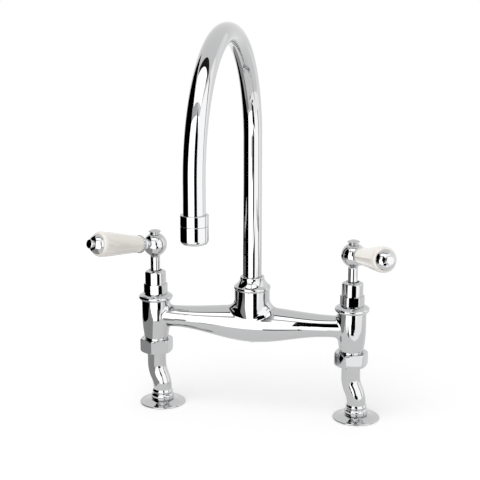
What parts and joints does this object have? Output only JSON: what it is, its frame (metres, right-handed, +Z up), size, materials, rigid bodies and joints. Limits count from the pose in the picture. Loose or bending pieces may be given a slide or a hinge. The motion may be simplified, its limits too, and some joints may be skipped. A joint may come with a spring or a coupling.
{
  "type": "bridge kitchen faucet",
  "caption": "Deck-mounted bridge mixer tap: hot and cold pillars on cranked legs, a cast bridge, porcelain lever handles and a tall swivelling swan-neck spout with an aerator.",
  "frame": {"origin": "on the worktop plane, midway between the two tap holes", "axes": "+X along the bridge towards the right-hand pillar, +Z up, the spout points to -Y"},
  "size_m": [0.2941, 0.252, 0.3936],
  "materials": {
    "chrome": "polished chrome plate on brass",
    "porcelain": "glossy warm white glaze",
    "disc_ceramic": "lapped flat",
    "brass": "machined",
    "rubber": "moulded",
    "thrust_plastic": "moulded, off-white",
    "steel": "drawn stainless steel"
  },
  "bodies": {
    "mixer_body": {"bridge_body": "chrome", "spout_shoulder_nut": "chrome", "spout_lower_washer": "thrust_plastic", "spout_upper_washer": "thrust_plastic", "left_foot_flange": "chrome", "left_leg": "chrome", "left_union_nut": "chrome", "left_union_washer": "rubber", "left_cover_ring": "chrome", "left_bonnet": "chrome", "left_seat_seal": "rubber", "left_cartridge_body": "brass", "left_lower_disc": "disc_ceramic", "right_foot_flange": "chrome", "right_leg": "chrome", "right_union_nut": "chrome", "right_union_washer": "rubber", "right_cover_ring": "chrome", "right_bonnet": "chrome", "right_seat_seal": "rubber", "right_cartridge_body": "brass", "right_lower_disc": "disc_ceramic"},
    "spout": {"spout_spigot": "brass", "spout_o_rings": "rubber", "spout_tube": "chrome", "nozzle_ring": "chrome", "aerator_housing": "chrome", "aerator_washer": "rubber", "aerator_mesh": "steel", "aerator_insert": "thrust_plastic"},
    "left_handle": {"left_upper_disc": "disc_ceramic", "left_spindle": "brass", "left_spindle_o_ring": "rubber", "left_spindle_clip": "steel", "left_handle_hub": "chrome", "left_handle_screw": "steel", "left_index_cap": "chrome", "left_lever_rod": "brass", "left_lever_ferrule": "chrome", "left_lever_sleeve": "porcelain", "left_lever_end_cap": "chrome", "left_lever_knob": "chrome"},
    "right_handle": {"right_upper_disc": "disc_ceramic", "right_spindle": "brass", "right_spindle_o_ring": "rubber", "right_spindle_clip": "steel", "right_handle_hub": "chrome", "right_handle_screw": "steel", "right_index_cap": "chrome", "right_lever_rod": "brass", "right_lever_ferrule": "chrome", "right_lever_sleeve": "porcelain", "right_lever_end_cap": "chrome", "right_lever_knob": "chrome"}
  },
  "joints": [
    {"name": "spout_swivel", "type": "hinge", "parent": "mixer_body", "child": "spout", "pos_m": [-0.00643, 0.003, 0.1258], "axis": [0, 0, 1], "continuous": true},
    {"name": "left_lever", "type": "hinge", "parent": "mixer_body", "child": "left_handle", "pos_m": [-0.10643, 0.003, 0.166], "axis": [0, 0, 1], "range_deg": [-60, 30]},
    {"name": "right_lever", "type": "hinge", "parent": "mixer_body", "child": "right_handle", "pos_m": [0.09357, 0.003, 0.166], "axis": [0, 0, -1], "range_deg": [-60, 30]}
  ]
}
